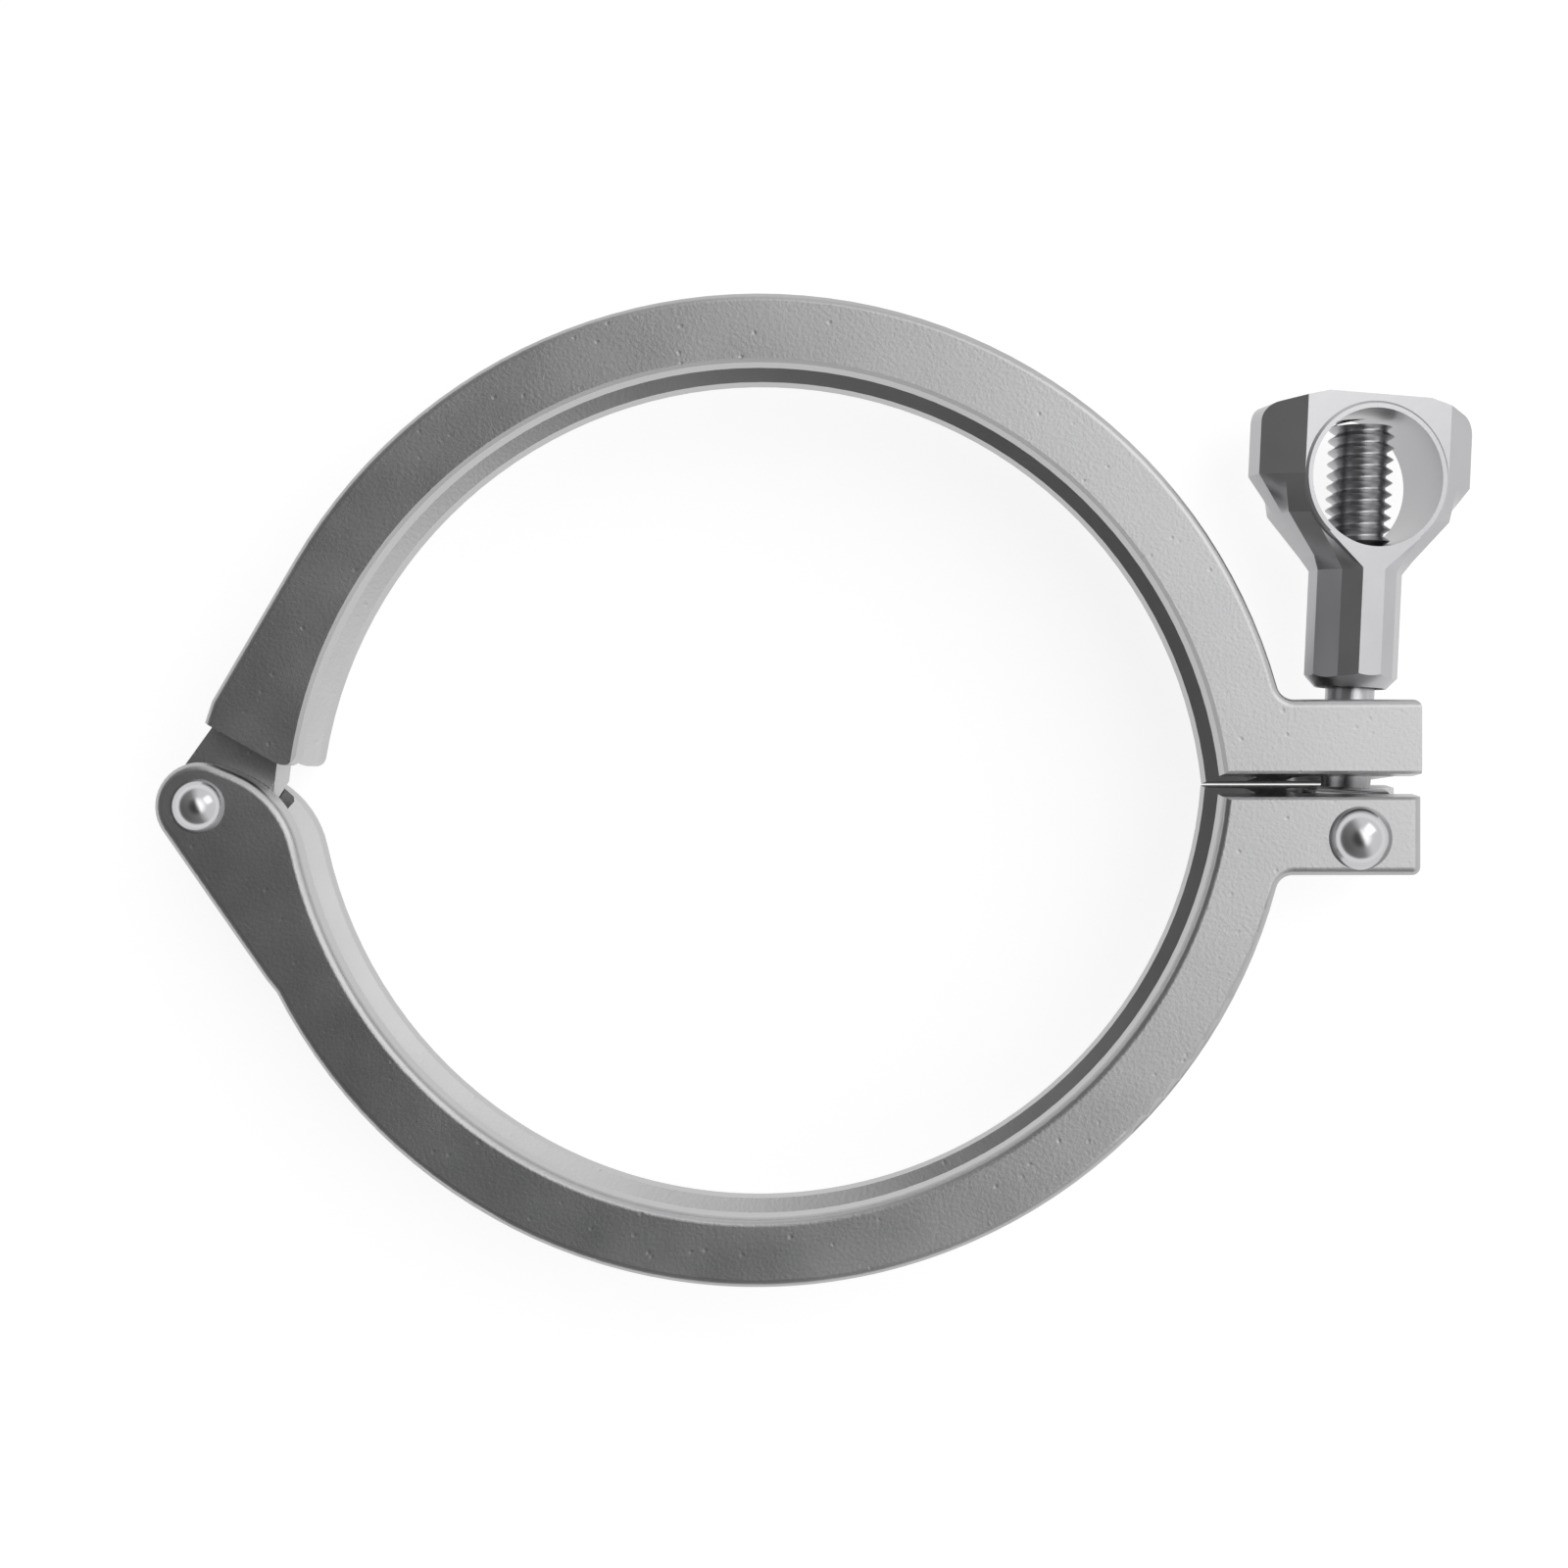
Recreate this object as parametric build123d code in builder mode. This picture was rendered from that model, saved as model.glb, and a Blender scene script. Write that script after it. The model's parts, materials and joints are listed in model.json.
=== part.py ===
from build123d import *
from math import acos, atan2, cos, hypot, radians, sin, tan
import os

# Single-pin hinged clamp for sanitary ferrules: two cast half rings with a V groove
# inside, a riveted hinge on the left, and a swing bolt with a wing nut on the right.
# The ring lies in the XY plane with its width along Z. The origin is the axis of the
# ferrule seat in the lower half, at the middle of the width. Lengths are millimetres.

# ---- ferrule seat and ring section ----
ferrule_od = 119.0  # outside diameter of the ferrule flanges that the clamp holds
seat_play = 0.7  # radial room between the flange rims and the groove floor
lip_height = 4.8  # how far the lips stand in from the groove floor
ring_wall = 3.4  # metal outside the groove floor
ring_width = 19.0
groove_floor = 6.8  # width of the flat floor of the groove
flank_angle = 20.0  # each flank leans this much from the ring's side faces
outer_round = 1.0  # radius on the outer edges of the castings
lip_bevel = 0.45  # bevel on the inner edges of the lips

# ---- hinge: lengths across count from the ring's outside, heights from the ring's axis ----
hinge_out = 2.3  # the pin stands this far outside the ring
hinge_y = -6.75
closed_swing = 8.4  # degrees that the closed upper half turns past its ferrule seat
ear_r = 5.2  # round ends of the hinge ears
tongue_r = 5.2  # round end of the tongue
tongue_width = 8.0
tongue_play = 0.3  # gap on each side of the tongue
ear_slot_depth = 6.2  # from the pin to the floor of the slot between the ears
ear_slot_angle = -40.0  # direction from the pin to that floor
ear_pad_angle = 205.2  # where the ears' straight outer edge ends, round the ring
ear_pad_proud = 0.45  # how far it stands out there
ear_pad_step = 1.9  # length of the step back to the ring
ear_crown_angle = -22.0  # slope of the ears' top edge
ear_crown_round = 12.5  # radius where the top edge turns into the bore
hinge_pin_d = 4.6
hinge_head_d = 6.5
hinge_head_h = 2.1

# ---- shoulder where the upper half narrows to its tongue, counted from the hinge pin ----
shoulder_side = (1.5, 12.4)  # top of the short upright edge above the shoulder
shoulder_out = (0.7, 9.9)
shoulder_in = (9.2, 5.1)
lip_end_drop = 1.0  # the lips' end face falls this far on its way into the bore
lip_end_run = 3.2  # and runs this far
lip_end_round = 1.4

# ---- lugs ----
lug_length = 14.9  # from the ring's outside to the lugs' ends
lug_root = 6.4  # from there back into the ring's wall
upper_lug_top = 5.9
lower_lug_foot = -14.9
lower_part_y = -5.65  # faces where the halves meet, at the front side face
upper_part_y = -2.9
lower_draft = 4.4  # degrees by which each face slopes towards the other at the back
upper_draft = 3.5
part_bevel = 0.35  # bevel on the edges of those faces
end_relief = 6.4  # length over which the upper lug's end is relieved
end_relief_rise = 0.9
lug_root_round = 2.0
bolt_slot = 9.2  # width of the slots that the swing bolt lies in
bolt_slot_run = 6.6  # from the bolt's pin to the closed end of the slots

# ---- swing bolt ----
bolt_pin_inset = 7.25  # from the lugs' ends to the pin
bolt_pin_y = -10.5
bolt_lean = 2.6  # degrees, towards the open end of the slots
bolt_pin_d = 5.0
bolt_head_d = 7.5
bolt_head_h = 2.5
eye_r = 4.5
eye_thickness = 8.4
eye_height = 6.0  # from the pin to the shoulder of the eye
eye_shoulder_round = 1.0
shank_d = 5.9
thread_d = 7.94  # 5/16 inch
thread_start = 19.2  # heights along the bolt, from the pin
thread_end = 50.4
tip_chamfer = 0.8
pin_play = 0.06  # radial clearance of the pins in what turns on them
rivet_play = 0.02  # radial clearance of the pins in the ears that hold them
thread_play = 0.06  # radial clearance that stands for the meshing threads

# ---- wing nut ----
nut_seat = 18.1  # foot of the nut above the pin, along the bolt
nut_turn = 11.0  # degrees that the nut is turned about the bolt
nut_height = 35.1
nut_span = 27.2
hub_flat = 5.6  # from the axis to the hub's front and back flats
hub_flat_half = 1.4
hub_bevel_x = 3.5
hub_bevel_z = 4.2
hub_side = 5.45  # from the axis to the hub's side flats
hub_side_half = 1.4
hub_height = 14.0  # where the wings start to flare
foot_r = 4.3  # radius of the seat face under the hub
foot_bevel_run = 1.7  # bevel round the foot, out past the hub's corners
foot_bevel_rise = 1.8
window_d = 16.6
window_height = 25.1  # from the foot to the middle of the window
rim_width = 0.85
rim_bevel = 0.3
wing_half = 5.3  # half thickness of the wings beside the rim
wing_tip_half = 1.8
flare_height = 15.6  # first section of the flare, just above the hub
flare_out = 0.9
waist_height = 20.5  # second section, where the wings' faces start
waist_x = 7.8
waist_z = 4.7
waist_side_x = 10.3
waist_side_z = 3.5
full_height = 25.0  # third section, at full span
wing_top_flat = 6.5  # half width of the level stretch on top
wing_tip_top = 33.2
wing_corner = 2.4
wing_top_corner = 1.5
web_half = 5.9  # half width of the web where it joins the rim
web_top = 18.3
web_foot = 14.2  # height where the web has narrowed to the rib down the hub

# ---- sizes that follow from the ones above ----
groove_r = ferrule_od / 2 + seat_play
lip_r = groove_r - lip_height
ring_r = groove_r + ring_wall
half_width = ring_width / 2
groove_mouth = groove_floor + 2 * lip_height * tan(radians(flank_angle))
tongue_slot = tongue_width + 2 * tongue_play
lug_reach = ring_r + lug_length
lug_start = ring_r - lug_root
bolt_pin_x = lug_reach - bolt_pin_inset
bolt_slot_start = bolt_pin_x - bolt_slot_run
hinge_x = -ring_r - hinge_out
rim_r = window_d / 2 + rim_width
ear_lean = radians(ear_slot_angle)
beyond = 2 * ring_r  # longer than the clamp, for cutters
inside = 8.0  # how far trimming outlines run into the bore
part_allowance = 1.5  # metal left on the lugs for their sloping faces

# The closed upper half has swung past its seat, so its own ring axis lies below the
# lower half's. It is the origin turned about the hinge pin by -closed_swing.
swing = radians(-closed_swing)
upper_x = hinge_x - hinge_x * cos(swing) + hinge_y * sin(swing)
upper_y = hinge_y - hinge_x * sin(swing) - hinge_y * cos(swing)
hinge = (hinge_x, hinge_y)

lean = radians(bolt_lean)
turn = radians(nut_turn)
bolt_up = Vector(sin(lean), cos(lean), 0)
bolt_side = Vector(cos(lean), -sin(lean), 0)
nut_front = Vector(0, 0, 1) * cos(turn) + bolt_side * sin(turn)
nut_side = bolt_side * cos(turn) - Vector(0, 0, 1) * sin(turn)
bolt_foot = Vector(bolt_pin_x, bolt_pin_y, 0)
nut_foot = bolt_foot + bolt_up * nut_seat
window_middle = nut_foot + bolt_up * window_height


def side_plane(x, y):
    """The plane through a pin's or the ring's axis, with X across and Z up."""
    return Plane(origin=(x, y, 0), x_dir=(1, 0, 0), z_dir=(0, -1, 0))


def seat_cutter(x, y):
    """The bevelled inner edges of the lips and the V groove for the ferrule flanges."""
    with BuildPart() as cutter:
        with BuildSketch(side_plane(x, y)):
            with BuildLine():
                Polyline(
                    (lip_r + lip_bevel, half_width),
                    (lip_r, half_width - lip_bevel),
                    (lip_r, groove_mouth / 2),
                    (groove_r, groove_floor / 2),
                    (groove_r, 0),
                    (lip_r - inside, 0),
                    (lip_r - inside, half_width),
                    close=True,
                )
            make_face()
            mirror(about=Plane.XZ)
        revolve(axis=Axis((x, y, 0), (0, 0, 1)))
    return cutter.part


def parting_cutter(y_front, draft, side):
    """A block that trims a casting to its sloping parting face, from X = 0 to the right.

    It removes what lies above the face with side +1, and what lies below with -1. It
    bevels the face's front and back edges too.
    """
    y_back = y_front + side * ring_width * tan(radians(draft))
    with BuildPart() as cutter:
        with BuildSketch(Plane.YZ):
            Polygon(
                (y_front - side * part_bevel, half_width + 1),
                (y_front - side * part_bevel, half_width),
                (y_front, half_width - part_bevel),
                (y_back, part_bevel - half_width),
                (y_back - side * part_bevel, -half_width),
                (y_back - side * part_bevel, -half_width - 1),
                (y_front + side * beyond, -half_width - 1),
                (y_front + side * beyond, half_width + 1),
                align=None,
            )
        extrude(amount=beyond)
    return cutter.part


def bolt_slot_cutter():
    """The slot between the prongs of both lugs, open at their ends."""
    reach = beyond - bolt_slot_start
    with BuildPart() as cutter:
        with BuildSketch(Plane.XZ):
            with Locations((bolt_slot_start + reach / 2, 0)):
                Rectangle(reach, bolt_slot)
        extrude(amount=beyond, both=True)
        fillet(cutter.edges().filter_by(Axis.Y).group_by(Axis.X)[0], bolt_slot / 3)
    return cutter.part


def rivet(x, y, shank_d, head_d, head_h):
    """A round pin with a domed head closed down on each side face."""
    top = half_width + head_h
    dome_r = (head_h**2 + (head_d / 2) ** 2) / (2 * head_h)
    with BuildPart() as pin:
        with BuildSketch(Plane.XY.offset(-half_width)):
            with Locations((x, y)):
                Circle(shank_d / 2)
        extrude(amount=ring_width)
        for side in (1, -1):
            with BuildSketch(side_plane(x, y)):
                with BuildLine():
                    RadiusArc((0, side * top), (head_d / 2, side * half_width), side * dome_r)
                    Polyline((head_d / 2, side * half_width), (0, side * half_width), (0, side * top))
                make_face()
            revolve(axis=Axis((x, y, 0), (0, 0, 1)))
    return pin.part


def tangent_foot(cx, cy, r, px, py, side):
    """Where the line from (px, py) touches the circle; side is +1 or -1."""
    away = hypot(px - cx, py - cy)
    along = atan2(py - cy, px - cx)
    open_angle = side * acos(r / away)
    return (cx + r * cos(along + open_angle), cy + r * sin(along + open_angle))


def on_circle(r, angle):
    """A point on a circle about the ring's axis."""
    return (r * cos(angle), r * sin(angle))


def from_hinge(offset):
    """A point counted from the hinge pin."""
    return (hinge_x + offset[0], hinge_y + offset[1])


def corner_at(sketch, x, y):
    """The corner of an outline that lies nearest to a place."""
    return sketch.vertices().sort_by_distance(Vector(x, y, 0))[0]


def outer_edges(body, x, y, y_low, y_high):
    """Edges of both side faces that lie outside the lips and between two heights."""
    return body.edges().filter_by(
        lambda edge: abs(edge.center().Z) > half_width - 0.01
        and hypot(edge.center().X - x, edge.center().Y - y) > lip_r + 1
        and y_low < edge.center().Y < y_high
    )


# ---- lower half: ring, hinge ears and forked lug in one casting ----
ear_pad_end = on_circle(ring_r + ear_pad_proud, radians(ear_pad_angle))
ear_touch = tangent_foot(*hinge, ear_r, *ear_pad_end, -1)
step_angle = radians(ear_pad_angle) + ear_pad_step / ring_r
step_end = on_circle(ring_r, step_angle)
crown = radians(ear_crown_angle)
crown_touch = (hinge_x - ear_r * sin(crown), hinge_y + ear_r * cos(crown))
# how far the crown line runs from its touching point to the lips' circle
crown_dot = crown_touch[0] * cos(crown) + crown_touch[1] * sin(crown)
crown_gap = hypot(*crown_touch) ** 2 - lip_r**2
crown_run = -crown_dot - (crown_dot**2 - crown_gap) ** 0.5
crown_lip = (crown_touch[0] + crown_run * cos(crown), crown_touch[1] + crown_run * sin(crown))
crown_past = (crown_lip[0] + inside * cos(crown), crown_lip[1] + inside * sin(crown))
lower_trim_y = lower_part_y + part_allowance

with BuildPart() as lower_half:
    with BuildSketch(Plane.XY) as outline:
        Circle(ring_r)
        with Locations((lug_start, lower_lug_foot)):
            Rectangle(lug_reach - lug_start, -lower_lug_foot, align=(Align.MIN, Align.MIN))
        Circle(lip_r, mode=Mode.SUBTRACT)
        with BuildLine():
            Polyline(
                (-beyond, crown_touch[1]),
                crown_touch,
                crown_past,
                (0, crown_past[1]),
                (0, lower_trim_y),
                (beyond, lower_trim_y),
                (beyond, beyond),
                (-beyond, beyond),
                close=True,
            )
        make_face(mode=Mode.SUBTRACT)
        with BuildLine():
            Polyline(
                ear_touch,
                ear_pad_end,
                step_end,
                crown_lip,
                crown_touch,
                hinge,
                close=True,
            )
        make_face()
        with Locations(hinge):
            Circle(ear_r)
        fillet(corner_at(outline, *crown_lip), ear_crown_round)
        root_x = (ring_r**2 - lower_lug_foot**2) ** 0.5
        fillet(corner_at(outline, root_x, lower_lug_foot), lug_root_round)
    extrude(amount=half_width, both=True)
    lug_end = lower_half.edges().filter_by(Axis.Z).group_by(Axis.X)[-1].sort_by(Axis.Y)[0]
    fillet(outer_edges(lower_half, 0, 0, -beyond, lower_trim_y - 0.1) + [lug_end], outer_round)
    add(seat_cutter(0, 0), mode=Mode.SUBTRACT)
    add(parting_cutter(lower_part_y, lower_draft, 1), mode=Mode.SUBTRACT)
    add(bolt_slot_cutter(), mode=Mode.SUBTRACT)
    # slot between the ears, its floor square to the ears' own direction
    with BuildSketch(Plane(origin=(*hinge, 0), x_dir=(cos(ear_lean), sin(ear_lean), 0))):
        with Locations((ear_slot_depth, 0)):
            Rectangle(beyond, beyond, align=(Align.MAX, Align.CENTER))
    extrude(amount=tongue_slot / 2, both=True, mode=Mode.SUBTRACT)
    with Locations((*hinge, 0)):
        Cylinder(hinge_pin_d / 2 + rivet_play, beyond, mode=Mode.SUBTRACT)
    with Locations((bolt_pin_x, bolt_pin_y, 0)):
        Cylinder(bolt_pin_d / 2 + rivet_play, beyond, mode=Mode.SUBTRACT)
lower_half.part.label = "lower_half"

# ---- upper half: ring, hinge tongue and forked lug in one casting ----
upper_trim_y = upper_part_y - part_allowance
relief_y = upper_part_y - ring_width * tan(radians(upper_draft))
shoulder_side_xy = from_hinge(shoulder_side)
shoulder_out_xy = from_hinge(shoulder_out)
shoulder_in_xy = from_hinge(shoulder_in)
lip_end_y = shoulder_in_xy[1] - lip_end_drop
side_touch = tangent_foot(upper_x, upper_y, ring_r, *shoulder_side_xy, -1)
tongue_touch = tangent_foot(*hinge, tongue_r, *shoulder_out_xy, 1)
tongue_inner = tangent_foot(*hinge, tongue_r, *shoulder_in_xy, -1)

with BuildPart() as upper_half:
    with BuildSketch(Plane.XY) as outline:
        with Locations((upper_x, upper_y)):
            Circle(ring_r)
        with BuildLine():
            Polyline(
                side_touch,
                shoulder_side_xy,
                shoulder_out_xy,
                shoulder_in_xy,
                close=True,
            )
        make_face()
        with Locations((lug_start, upper_trim_y)):
            Rectangle(
                lug_reach - lug_start, upper_lug_top - upper_trim_y, align=(Align.MIN, Align.MIN)
            )
        with Locations((upper_x, upper_y)):
            Circle(lip_r, mode=Mode.SUBTRACT)
        with BuildLine():
            Polyline(
                (-beyond, shoulder_out_xy[1]),
                shoulder_out_xy,
                shoulder_in_xy,
                (shoulder_in_xy[0] + lip_end_run, lip_end_y),
                (0, lip_end_y),
                (0, upper_trim_y),
                (beyond, upper_trim_y),
                (beyond, -beyond),
                (-beyond, -beyond),
                close=True,
            )
        make_face(mode=Mode.SUBTRACT)
        lip_end_x = upper_x - (lip_r**2 - (lip_end_y - upper_y) ** 2) ** 0.5
        fillet(corner_at(outline, lip_end_x, lip_end_y), lip_end_round)
        root_x = upper_x + (ring_r**2 - (upper_lug_top - upper_y) ** 2) ** 0.5
        fillet(corner_at(outline, root_x, upper_lug_top), lug_root_round)
    extrude(amount=half_width, both=True)
    lug_end = upper_half.edges().filter_by(Axis.Z).group_by(Axis.X)[-1].sort_by(Axis.Y)[-1]
    fillet(outer_edges(upper_half, upper_x, upper_y, 1.0, beyond) + [lug_end], outer_round)
    with BuildSketch(Plane.XY) as outline:
        with BuildLine():
            Polyline(
                tongue_touch,
                shoulder_out_xy,
                shoulder_in_xy,
                tongue_inner,
                hinge,
                close=True,
            )
        make_face()
        with Locations(hinge):
            Circle(tongue_r)
    extrude(amount=tongue_width / 2, both=True)
    add(seat_cutter(upper_x, upper_y), mode=Mode.SUBTRACT)
    add(parting_cutter(upper_part_y, upper_draft, -1), mode=Mode.SUBTRACT)
    # the lug's end is relieved, so that the halves meet near the ring first
    with BuildSketch(Plane.XY):
        Polygon(
            (lug_reach - end_relief, relief_y),
            (lug_reach + end_relief, relief_y + 2 * end_relief_rise),
            (lug_reach + end_relief, relief_y - beyond),
            (lug_reach - end_relief, relief_y - beyond),
            align=None,
        )
    extrude(amount=half_width, both=True, mode=Mode.SUBTRACT)
    add(bolt_slot_cutter(), mode=Mode.SUBTRACT)
    with Locations((*hinge, 0)):
        Cylinder(hinge_pin_d / 2 + pin_play, beyond, mode=Mode.SUBTRACT)
upper_half.part.label = "upper_half"

# ---- pins, riveted over at both ends ----
hinge_pin = rivet(hinge_x, hinge_y, hinge_pin_d, hinge_head_d, hinge_head_h)
hinge_pin.label = "hinge_pin"
bolt_pin = rivet(bolt_pin_x, bolt_pin_y, bolt_pin_d, bolt_head_d, bolt_head_h)
bolt_pin.label = "bolt_pin"

# ---- swing bolt: flat-sided eye, shank and thread ----
eye_plane = Plane(origin=bolt_foot, x_dir=bolt_side, z_dir=(0, 0, 1))
with BuildPart() as eye_bolt:
    with BuildSketch(eye_plane):
        Circle(eye_r)
        Rectangle(2 * eye_r, eye_height, align=(Align.CENTER, Align.MIN))
    extrude(amount=eye_thickness / 2, both=True)
    eye_top = eye_bolt.faces().sort_by(Axis(bolt_foot, bolt_up))[-1]
    fillet(eye_top.edges(), eye_shoulder_round)
    with BuildSketch(Plane(origin=bolt_foot, x_dir=bolt_side, z_dir=bolt_up)):
        Circle(shank_d / 2)
    extrude(amount=thread_start)
    with BuildSketch(Plane(origin=bolt_foot + bolt_up * thread_start, x_dir=bolt_side, z_dir=bolt_up)):
        Circle(thread_d / 2)
    extrude(amount=thread_end - thread_start)
    ends = eye_bolt.edges().filter_by(GeomType.CIRCLE).sort_by(Axis(bolt_foot, bolt_up))
    chamfer(ends[-1], tip_chamfer)
    with Locations(eye_plane):
        Cylinder(bolt_pin_d / 2 + pin_play, beyond, mode=Mode.SUBTRACT)
eye_bolt.part.label = "eye_bolt"

# ---- wing nut: faceted hub, two wings, and a keyhole rim round a window ----
nut_face = Plane(origin=nut_foot, x_dir=nut_side, z_dir=nut_front)
nut_plan = Plane(origin=nut_foot, x_dir=nut_side, z_dir=bolt_up)
hub_corners = [
    (hub_flat_half, hub_flat),
    (hub_bevel_x, hub_bevel_z),
    (hub_side, hub_side_half),
    (hub_side, -hub_side_half),
    (hub_bevel_x, -hub_bevel_z),
    (hub_flat_half, -hub_flat),
]
flared_corners = [
    (hub_flat_half, hub_flat - rim_bevel),
    (hub_bevel_x + flare_out, hub_bevel_z),
    (hub_side + flare_out, hub_side_half + flare_out),
    (hub_side + flare_out, -hub_side_half - flare_out),
    (hub_bevel_x + flare_out, -hub_bevel_z),
    (hub_flat_half, rim_bevel - hub_flat),
]
waist_corners = [
    (hub_flat_half, wing_half),
    (waist_x, waist_z),
    (waist_side_x, waist_side_z),
    (waist_side_x, -waist_side_z),
    (waist_x, -waist_z),
    (hub_flat_half, -wing_half),
]
wing_corners = [
    (hub_flat_half, wing_half),
    (rim_r, wing_half),
    (nut_span / 2, wing_tip_half),
    (nut_span / 2, -wing_tip_half),
    (rim_r, -wing_half),
    (hub_flat_half, -wing_half),
]


def section(height, corners):
    """A closed outline across the nut, the same on both sides of the bolt."""
    with BuildSketch(nut_plan.offset(height)) as outline:
        Polygon(*corners, *[(-x, z) for x, z in reversed(corners)], align=None)
    return outline.sketch


with BuildPart() as wing_nut:
    # hub, flare and wings follow one another up the bolt
    loft([section(0, hub_corners), section(hub_height, hub_corners)], ruled=True)
    loft([section(hub_height, hub_corners), section(flare_height, flared_corners)], ruled=True)
    loft([section(flare_height, flared_corners), section(waist_height, waist_corners)], ruled=True)
    loft([section(waist_height, waist_corners), section(full_height, wing_corners)], ruled=True)
    loft([section(full_height, wing_corners), section(nut_height, wing_corners)], ruled=True)
    # the top slopes down to the tips and is rounded at its corners
    with BuildSketch(nut_face):
        with BuildSketch(Plane.XY, mode=Mode.PRIVATE) as top:
            with BuildLine():
                Polyline(
                    (0, 0),
                    (nut_span / 2, 0),
                    (nut_span / 2, wing_tip_top),
                    (wing_top_flat, nut_height),
                    (0, nut_height),
                    close=True,
                )
            make_face()
            fillet(corner_at(top, nut_span / 2, wing_tip_top), wing_corner)
            fillet(corner_at(top, wing_top_flat, nut_height), wing_top_corner)
            mirror(about=Plane.YZ)
        add(top.sketch)
    extrude(amount=hub_flat, both=True, mode=Mode.INTERSECT)
    # rim round the window, its web, and the rib that runs down the hub
    with BuildSketch(Plane(origin=window_middle, x_dir=nut_side, z_dir=-bolt_up)):
        Polygon(
            (0, hub_flat),
            (rim_r - rim_bevel, hub_flat),
            (rim_r, hub_flat - rim_bevel),
            (rim_r, rim_bevel - hub_flat),
            (rim_r - rim_bevel, -hub_flat),
            (0, -hub_flat),
            align=None,
        )
    revolve(axis=Axis(window_middle, nut_front))
    with BuildSketch(nut_face):
        Polygon(
            (-hub_flat_half, 0),
            (hub_flat_half, 0),
            (hub_flat_half, web_foot),
            (web_half, web_top),
            (-web_half, web_top),
            (-hub_flat_half, web_foot),
            align=None,
        )
    extrude(amount=hub_flat, both=True)
    with BuildSketch(nut_face):
        with Locations((0, window_height)):
            Circle(window_d / 2)
    extrude(amount=hub_flat, both=True, mode=Mode.SUBTRACT)
    # bevel under the hub, and the threaded bore from there up into the window
    with BuildSketch(nut_face):
        Polygon(
            (foot_r, 0),
            (foot_r + foot_bevel_run, 0),
            (foot_r + foot_bevel_run, foot_bevel_rise),
            align=None,
        )
    revolve(axis=Axis(nut_foot, bolt_up), mode=Mode.SUBTRACT)
    with BuildSketch(nut_plan):
        Circle(thread_d / 2 + thread_play)
    extrude(amount=window_height, mode=Mode.SUBTRACT)
wing_nut.part.label = "wing_nut"

os.makedirs("parts", exist_ok=True)
export_step(lower_half.part, "parts/lower_half.step")
export_step(upper_half.part, "parts/upper_half.step")
export_step(hinge_pin, "parts/hinge_pin.step")
export_step(bolt_pin, "parts/bolt_pin.step")
export_step(eye_bolt.part, "parts/eye_bolt.step")
export_step(wing_nut.part, "parts/wing_nut.step")
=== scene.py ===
# %% [markdown]
# # A sanitary hinged clamp
# The clamp squeezes two pipe ferrules together. Two cast half rings turn on a riveted
# hinge, and a swing bolt with a wing nut draws them shut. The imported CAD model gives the
# castings their shape. This script adds the cut thread and the finishes of the steel.

# %% Load the frame
import json
import math

import bpy
from mathutils import Matrix, Vector


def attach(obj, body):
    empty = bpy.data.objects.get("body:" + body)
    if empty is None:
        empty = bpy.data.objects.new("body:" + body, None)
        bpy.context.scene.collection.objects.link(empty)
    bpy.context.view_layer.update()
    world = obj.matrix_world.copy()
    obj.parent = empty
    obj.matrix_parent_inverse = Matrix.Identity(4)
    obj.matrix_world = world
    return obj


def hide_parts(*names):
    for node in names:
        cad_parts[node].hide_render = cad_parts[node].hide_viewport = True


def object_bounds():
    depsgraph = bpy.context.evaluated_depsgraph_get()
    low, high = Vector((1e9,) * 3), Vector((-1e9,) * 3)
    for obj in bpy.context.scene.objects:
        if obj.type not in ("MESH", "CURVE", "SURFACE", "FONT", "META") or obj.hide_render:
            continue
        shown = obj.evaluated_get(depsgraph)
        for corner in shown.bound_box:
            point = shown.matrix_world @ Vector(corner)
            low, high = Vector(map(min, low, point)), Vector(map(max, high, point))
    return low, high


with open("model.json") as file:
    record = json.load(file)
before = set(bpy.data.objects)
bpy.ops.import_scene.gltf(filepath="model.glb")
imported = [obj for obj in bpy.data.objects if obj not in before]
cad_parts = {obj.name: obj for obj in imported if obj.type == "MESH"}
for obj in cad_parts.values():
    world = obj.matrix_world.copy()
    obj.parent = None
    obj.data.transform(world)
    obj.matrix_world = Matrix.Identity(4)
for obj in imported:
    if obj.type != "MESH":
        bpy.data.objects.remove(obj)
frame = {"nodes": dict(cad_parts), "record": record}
cad_box = [list(map(float, corner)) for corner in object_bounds()]
nodes = frame["nodes"]

# %% [markdown]
# ## Measures
# The bolt's own line is found from the frame: the swing joint gives the point where it
# starts, and the nut's travel gives its direction. All lengths are metres. The heights
# along the thread count from the bolt's pin, and the two gaps at the end are how close
# two points have to be before they are taken for one.

# %% Measures
mm = 0.001
joints = {joint["name"]: joint for joint in frame["record"]["behaviour"]["joints"]}
bolt_foot = Vector(joints["bolt_swing"]["pos_m"])
bolt_up = Vector(joints["nut_travel"]["axis"]).normalized()
thread_start = 19.2 * mm
thread_end = 50.4 * mm
thread_r = 3.97 * mm
thread_pitch = 25.4 / 18 * mm
thread_depth = 0.84 * mm
thread_bevel = 0.8 * mm
neck_r = 2.6 * mm
neck_run = 1.0 * mm
shank_cut = 0.3 * mm
merge_gap = 1e-6
exact_gap = 1e-7
bolt_lean = Vector((0, 0, 1)).rotation_difference(bolt_up).to_matrix().to_4x4()
bolt_place = Matrix.Translation(bolt_foot) @ bolt_lean
print("bolt leans", round(math.degrees(math.atan2(bolt_up.x, bolt_up.y)), 2), "degrees")

# %% [markdown]
# ## Helpers
# Operators act on whatever is selected, so each step first picks one object. A finished
# piece sits at the origin with its place in its mesh, so its transform is applied.


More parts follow.
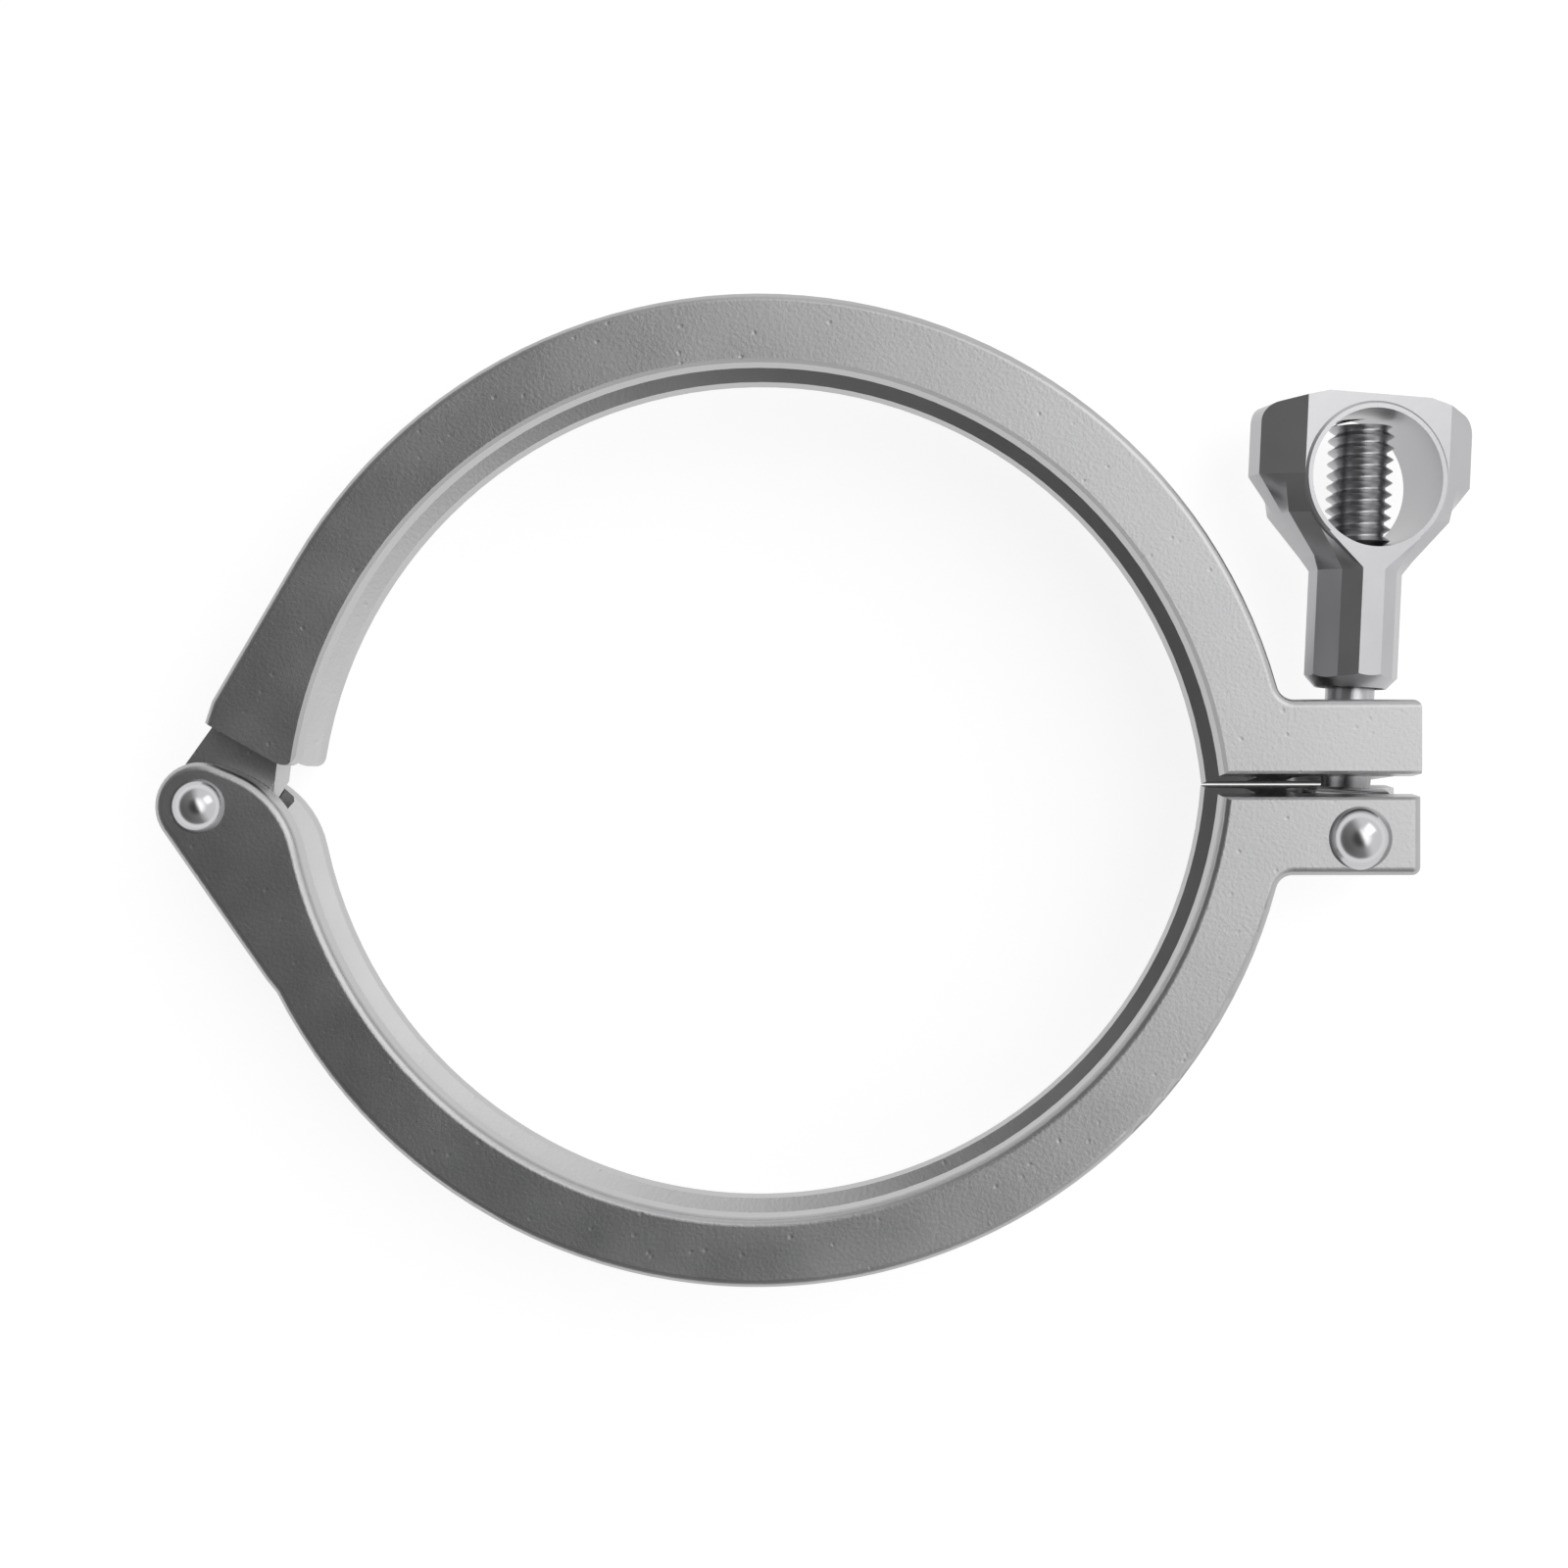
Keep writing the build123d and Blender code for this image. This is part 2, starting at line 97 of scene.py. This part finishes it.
# %% Helpers
def pick(piece):
    """Make one object the only selected and active one."""
    bpy.ops.object.select_all(action="DESELECT")
    piece.select_set(True)
    bpy.context.view_layer.objects.active = piece


def settle(piece, place=None):
    """Put a piece in its place and move that place into its mesh."""
    pick(piece)
    if place is not None:
        piece.matrix_world = place @ piece.matrix_world
    bpy.ops.object.transform_apply(location=True, rotation=True, scale=True)


def apply_all(piece):
    """Apply every modifier, from the top of the stack."""
    pick(piece)
    for modifier in list(piece.modifiers):
        bpy.ops.object.modifier_apply(modifier=modifier.name)


def select_faces(piece, chosen):
    """Enter edit mode with only the chosen faces selected."""
    pick(piece)
    bpy.ops.object.mode_set(mode="EDIT")
    bpy.ops.mesh.select_mode(type="FACE")
    bpy.ops.mesh.select_all(action="DESELECT")
    bpy.ops.object.mode_set(mode="OBJECT")
    for face in piece.data.polygons:
        face.select = chosen(face)
    bpy.ops.object.mode_set(mode="EDIT")


def copy_node(name, piece_name):
    """A copy of a CAD node with its loose triangles merged."""
    piece = nodes[name].copy()
    piece.data = nodes[name].data.copy()
    piece.name = piece_name
    bpy.context.scene.collection.objects.link(piece)
    placed = nodes[name].matrix_world.copy()
    piece.parent = None
    piece.matrix_world = placed
    pick(piece)
    bpy.ops.object.mode_set(mode="EDIT")
    bpy.ops.mesh.select_all(action="SELECT")
    bpy.ops.mesh.remove_doubles(threshold=merge_gap)
    bpy.ops.object.mode_set(mode="OBJECT")
    settle(piece)
    return piece


# %% [markdown]
# ## The thread
# The swing bolt has a coarse inch thread with eighteen turns to the inch. A drawn line
# round a cylinder would look flat where light grazes it, so the thread is real. One
# tooth's outline is drawn point by point and a Screw modifier winds it up the bolt.


# %% Wind the thread
def wound_thread():
    """A threaded rod, standing on the origin along Z, closed at both ends."""
    root = thread_r - thread_depth
    low = thread_start - 2.5 * thread_pitch
    bpy.ops.object.select_all(action="DESELECT")
    bpy.ops.mesh.primitive_plane_add(size=mm, location=(root, 0, low))
    rod = bpy.context.active_object
    rod.name = "rod"
    settle(rod)
    bpy.ops.object.mode_set(mode="EDIT")
    bpy.ops.mesh.select_all(action="SELECT")
    bpy.ops.mesh.merge(type="CENTER")
    steps = [
        (0, 0.10 * thread_pitch),
        (0.90 * thread_depth, 0.34 * thread_pitch),
        (0.10 * thread_depth, 0.06 * thread_pitch),
        (-0.10 * thread_depth, 0.06 * thread_pitch),
        (-0.90 * thread_depth, 0.34 * thread_pitch),
        (0, 0.10 * thread_pitch),
    ]
    for out, up in steps:
        bpy.ops.mesh.extrude_region_move(TRANSFORM_OT_translate={"value": (out, 0, up)})
    bpy.ops.object.mode_set(mode="OBJECT")
    screw = rod.modifiers.new("winding", "SCREW")
    screw.axis = "Z"
    screw.angle = math.tau
    screw.screw_offset = thread_pitch
    screw.iterations = math.ceil((thread_end - low) / thread_pitch) + 1
    screw.steps = screw.render_steps = 48
    screw.use_merge_vertices = True
    screw.merge_threshold = merge_gap
    apply_all(rod)
    bpy.ops.object.mode_set(mode="EDIT")
    for height, side in ((thread_start - neck_run, -1), (thread_end, 1)):
        bpy.ops.mesh.select_all(action="SELECT")
        bpy.ops.mesh.bisect(
            plane_co=(0, 0, height),
            plane_no=(0, 0, side),
            use_fill=True,
            clear_outer=True,
            threshold=exact_gap,
        )
    bpy.ops.mesh.select_all(action="SELECT")
    bpy.ops.mesh.remove_doubles(threshold=exact_gap)
    bpy.ops.mesh.normals_make_consistent(inside=False)
    bpy.ops.object.mode_set(mode="OBJECT")
    return rod


rod = wound_thread()
print("thread faces:", len(rod.data.polygons))

# %% [markdown]
# The tip and the start of a cut thread are turned to a cone, so the crests fade out. A
# bevelled cylinder is the envelope that the rod is cut to. It ends in a narrow neck that
# reaches into the shank, so that the union never meets two surfaces in one place. The
# lower part of the bolt is a copy of the CAD bolt, cut off just below the thread.


# %% Cut its ends and join it to the eye
def envelope():
    """A rod with bevelled ends and a neck below, a little wider than the thread."""
    length = thread_end - thread_start
    bpy.ops.object.select_all(action="DESELECT")
    bpy.ops.mesh.primitive_cylinder_add(
        vertices=96,
        radius=thread_r * 1.001,
        depth=length,
        location=(0, 0, thread_start + length / 2),
    )
    tool = bpy.context.active_object
    tool.name = "envelope"
    settle(tool)
    select_faces(tool, lambda face: abs(face.normal.z) > 0.9)
    bpy.ops.mesh.bevel(offset=thread_bevel, segments=1, affect="EDGES")
    bpy.ops.object.mode_set(mode="OBJECT")
    select_faces(tool, lambda face: face.normal.z < -0.9)
    bpy.ops.mesh.inset(thickness=thread_r - thread_bevel - neck_r)
    bpy.ops.mesh.extrude_region_move(TRANSFORM_OT_translate={"value": (0, 0, -neck_run)})
    bpy.ops.object.mode_set(mode="OBJECT")
    return tool


def combine(piece, tool, operation):
    """Boolean a tool into a piece and take the tool away."""
    cut = piece.modifiers.new("cut", "BOOLEAN")
    cut.operation = operation
    cut.object = tool
    cut.solver = "EXACT"
    apply_all(piece)
    bpy.data.objects.remove(tool, do_unlink=True)


combine(rod, envelope(), "INTERSECT")
settle(rod, bolt_place)
swing_bolt = copy_node("eye_bolt", "swing_bolt")
bpy.ops.object.mode_set(mode="EDIT")
bpy.ops.mesh.select_all(action="SELECT")
bpy.ops.mesh.bisect(
    plane_co=bolt_foot + bolt_up * (thread_start - shank_cut),
    plane_no=bolt_up,
    use_fill=True,
    clear_outer=True,
    threshold=exact_gap,
)
bpy.ops.object.mode_set(mode="OBJECT")
combine(swing_bolt, rod, "UNION")
pick(swing_bolt)
bpy.ops.object.shade_smooth_by_angle(angle=math.radians(35))
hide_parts("eye_bolt")
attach(swing_bolt, "bolt")
print("swing bolt faces:", len(swing_bolt.data.polygons))

# %% [markdown]
# ## Shader maths
# A pattern is easier to read as arithmetic than as a chain of nodes. This small class
# wraps a socket, and each operator on it adds the Math node that does the sum.


# %% Shader maths
class Value:
    """A number that varies over a surface, written with +, - and *."""

    def __init__(self, look, socket):
        self.look = look
        self.socket = socket

    def _maths(self, operation, left, right):
        return self.look.node("ShaderNodeMath", {"operation": operation}, {0: left, 1: right})

    def __add__(self, other):
        return self._maths("ADD", self, other)

    def __sub__(self, other):
        return self._maths("SUBTRACT", self, other)

    def __rsub__(self, other):
        return self._maths("SUBTRACT", other, self)

    def __mul__(self, other):
        return self._maths("MULTIPLY", self, other)

    __radd__ = __add__
    __rmul__ = __mul__


class Look:
    """A material with one shader, whose fixed settings go straight on its sockets."""

    def __init__(self, name, **settings):
        self.material = bpy.data.materials.new(name)
        self.material.use_nodes = True
        self.tree = self.material.node_tree
        self.shader = self.tree.nodes["Principled BSDF"]
        for socket, value in settings.items():
            self.shader.inputs[socket.replace("_", " ")].default_value = value
        self.place = self.node("ShaderNodeTexCoord", {}, {}, "Object")

    def node(self, kind, settings, sockets, output=0):
        """Add a node, set it up, then fill its sockets with values or links."""
        node = self.tree.nodes.new(kind)
        for key, value in settings.items():
            if key == "stops":
                ramp = node.color_ramp.elements
                while len(ramp) < len(value):
                    ramp.new(0.5)
                for stop, (at, grey) in zip(ramp, value):
                    stop.position = at
                    stop.color = (grey, grey, grey, 1)
            else:
                setattr(node, key, value)
        for key, value in sockets.items():
            self.feed(node.inputs[key], value)
        return Value(self, node.outputs[output])

    def feed(self, socket, value):
        """Link a value to a socket, or set it there."""
        if isinstance(value, Value):
            self.tree.links.new(value.socket, socket)
        else:
            socket.default_value = value

    def noise(self, scale, detail=2.0, roughness=0.5):
        """Soft noise with a given number of cells to the metre."""
        sockets = {"Vector": self.place, "Scale": scale, "Detail": detail, "Roughness": roughness}
        return self.node("ShaderNodeTexNoise", {}, sockets)

    def steps(self, value, stops):
        """Turn a number into another through a list of stops."""
        return self.node("ShaderNodeValToRGB", {"stops": stops}, {0: value})

    def colour(self, dark, light, share):
        """Blend two colours by a number."""
        return self.node(
            "ShaderNodeMix",
            {"data_type": "RGBA"},
            {"Factor": share, 6: (*dark, 1), 7: (*light, 1)},
            2,
        )

    def bump(self, height, strength, distance, onto=None):
        """Raise the surface by a height, on top of an earlier bump."""
        sockets = {"Height": height, "Strength": strength, "Distance": distance}
        if onto is not None:
            sockets["Normal"] = onto
        return self.node("ShaderNodeBump", {}, sockets)

    def finish(self, **sockets):
        """Link what varies to the shader."""
        for socket, value in sockets.items():
            self.feed(self.shader.inputs[socket.replace("_", " ")], value)
        return self.material


def dress(piece, material):
    """Give a piece one material."""
    piece.data.materials.clear()
    piece.data.materials.append(material)


# %% [markdown]
# ## Blasted cast steel
# The halves are investment castings, blasted with fine beads. That leaves a soft satin
# grain about a fifth of a millimetre across, faint clouds where the blast lingered, and a
# few small pits from the mould. Grain and pits go to a bump, and the clouds to the colour
# and the roughness.


# %% Blasted cast steel
def blasted_steel():
    """Satin cast steel with grain, clouds and pits."""
    look = Look("blasted_cast_steel", Metallic=1.0)
    grain = look.noise(2300, 2.0, 0.6)
    clouds = look.noise(90, 3.0, 0.55)
    pits = look.node(
        "ShaderNodeTexVoronoi", {}, {"Vector": look.place, "Scale": 420.0}, "Distance"
    )
    pit = look.steps(pits, [(0.0, 0.0), (0.14, 1.0)])
    skin = look.bump(grain, 0.30, 0.00006)
    skin = look.bump(pit, 0.25, 0.00008, skin)
    return look.finish(
        Base_Color=look.colour((0.36, 0.36, 0.37), (0.48, 0.48, 0.48), clouds),
        Roughness=0.27 + 0.10 * clouds,
        Normal=skin,
    )


cast = blasted_steel()
dress(nodes["lower_half"], cast)
dress(nodes["upper_half"], cast)
print("castings wear", cast.name)


# %% [markdown]
# ## Pins, bolt and nut
# The pins are turned bar, closed down under a polished punch, so their heads shine. The
# bolt is rolled and left bright. The nut is cast too, but it was tumbled smooth. One
# function serves all three, because they differ only in colour, shine and grain.


# %% Pins, bolt and nut
def smooth_steel(name, base, rough, grain_scale, depth):
    """Steel with a fine grain and faint clouds, from its darker colour."""
    look = Look(name, Metallic=1.0)
    grain = look.noise(grain_scale, 2.0, 0.5)
    clouds = look.noise(160, 3.0, 0.5)
    light = tuple(min(1.0, c * 1.15) for c in base)
    return look.finish(
        Base_Color=look.colour(base, light, clouds),
        Roughness=rough + 0.08 * clouds,
        Normal=look.bump(grain, 0.2, depth),
    )


punched = smooth_steel("punched_pin_steel", (0.50, 0.50, 0.51), 0.14, 900, 0.00003)
rolled = smooth_steel("rolled_bolt_steel", (0.40, 0.40, 0.41), 0.24, 1500, 0.00003)
tumbled = smooth_steel("tumbled_nut_steel", (0.42, 0.42, 0.43), 0.28, 1100, 0.00004)
dress(nodes["hinge_pin"], punched)
dress(nodes["bolt_pin"], punched)
dress(swing_bolt, rolled)
dress(nodes["wing_nut"], tumbled)
print("smooth steels:", punched.name, rolled.name, tumbled.name)

# %% [markdown]
# ## Floor
# The clamp lies on a pale matt floor. Most of its white is a glow that only the camera
# and mirrored rays see, so it throws no light on the steel. The rest is the lit floor
# itself, which keeps the soft shadow under the ring.


# %% Floor
def pale_floor(height):
    """A wide white floor at a height, which only the render sees."""
    bpy.ops.object.select_all(action="DESELECT")
    bpy.ops.mesh.primitive_plane_add(size=60, location=(0, 0, height))
    floor = bpy.context.active_object
    floor.name = "floor"
    settle(floor)
    look = Look("pale_floor", Base_Color=(0.93, 0.93, 0.93, 1), Roughness=1.0)
    rays = look.tree.nodes.new("ShaderNodeLightPath").outputs
    seen = 0
    for ray in ("Is Camera Ray", "Is Glossy Ray", "Is Transmission Ray"):
        seen = Value(look, rays[ray]) + seen
    glow = look.node("ShaderNodeEmission", {}, {"Color": (1, 1, 1, 1), "Strength": 1.2})
    lit = Value(look, look.shader.outputs[0])
    surface = look.node("ShaderNodeMixShader", {}, {0: 0.7 * seen, 1: lit, 2: glow})
    look.feed(look.tree.nodes["Material Output"].inputs["Surface"], surface)
    dress(floor, look.material)


pale_floor(cad_box[0][2])
print("floor at", round(cad_box[0][2] / mm, 2), "mm")

# %% [markdown]
# ## Light
# Satin metal shows the room more than it shows a lamp. The room here is a white studio
# with a dark patch straight overhead, where the camera hangs. That patch grows lighter
# to the upper right, so the flat side faces shade from dark to bright across the ring.
# The walls are white near the floor, where a low view looks past the clamp.
# The sky's colour is worked out from its direction with the same shader maths.


# %% Studio sky
class Sky(Look):
    """The world's own nodes, placed by direction in the room."""

    def __init__(self, name):
        world = bpy.data.worlds.new(name)
        world.use_nodes = True
        bpy.context.scene.world = world
        self.tree = world.node_tree
        self.shader = self.tree.nodes["Background"]
        self.place = self.node("ShaderNodeTexCoord", {}, {}, "Generated")
        split = self.tree.nodes.new("ShaderNodeSeparateXYZ")
        self.feed(split.inputs[0], self.place)
        self.across, self.along, self.up = (Value(self, out) for out in split.outputs)

    def finish(self, brightness, strength):
        """Light the room by a brightness between 0 and 1, times a strength."""
        self.feed(self.shader.inputs["Color"], brightness)
        self.shader.inputs["Strength"].default_value = strength


def studio_sky():
    """Light the room: the dark patch overhead, the walls round it and their foot."""
    sky = Sky("studio")
    drift = 0.92 * sky.across + 0.38 * sky.along
    patch = sky.steps(drift + 0.5, [(0.32, 0.03), (0.48, 0.045), (0.56, 0.30), (0.66, 1.0)])
    walls = sky.steps(0.5 * drift + 0.5, [(0.10, 0.08), (0.45, 0.15), (0.66, 0.5)])
    edge = sky.steps(1.0 - sky.up, [(0.05, 0.0), (0.20, 1.0)])
    low = sky.steps(sky.up, [(0.26, 0.6), (0.36, 0.0)])
    lightest = sky.node("ShaderNodeMath", {"operation": "MAXIMUM"}, {0: walls * edge, 1: low})
    sky.finish(patch * (1.0 - edge) + lightest, 2.0)


studio_sky()
print("sky:", bpy.context.scene.world.name)

# %% [markdown]
# ## Key lamp
# A sky alone leaves polished heads without a sparkle. One small square lamp at the upper
# right gives the domes and the nut's facets a clear highlight.


# %% Key lamp
def panel(name, place, aim, size, power):
    """A square lamp that faces a point."""
    lamp = bpy.data.lights.new(name, "AREA")
    lamp.shape = "SQUARE"
    lamp.size = size
    lamp.energy = power
    holder = bpy.data.objects.new(name, lamp)
    bpy.context.scene.collection.objects.link(holder)
    holder.location = place
    facing = Vector(aim) - Vector(place)
    holder.rotation_euler = facing.to_track_quat("-Z", "Y").to_euler()


panel("key", (0.34, 0.26, 0.42), (0, 0, 0), 0.30, 0.3)
print("lamp power:", bpy.data.lights["key"].energy, "W")

# %% [markdown]
# ## Camera
# The camera looks straight down on the side of the ring, from about a foot away.

# %% Camera
lens = bpy.data.cameras.new("camera")
lens.lens = 55.9
lens.sensor_width = 36
lens.shift_x = -0.01875
lens.shift_y = 0.0019
camera = bpy.data.objects.new("camera", lens)
bpy.context.scene.collection.objects.link(camera)
camera.location = (0.00673, -0.00446, 0.2965)
bpy.context.scene.camera = camera
bpy.context.scene.view_settings.view_transform = "Standard"
print("camera height:", camera.location.z, "m")
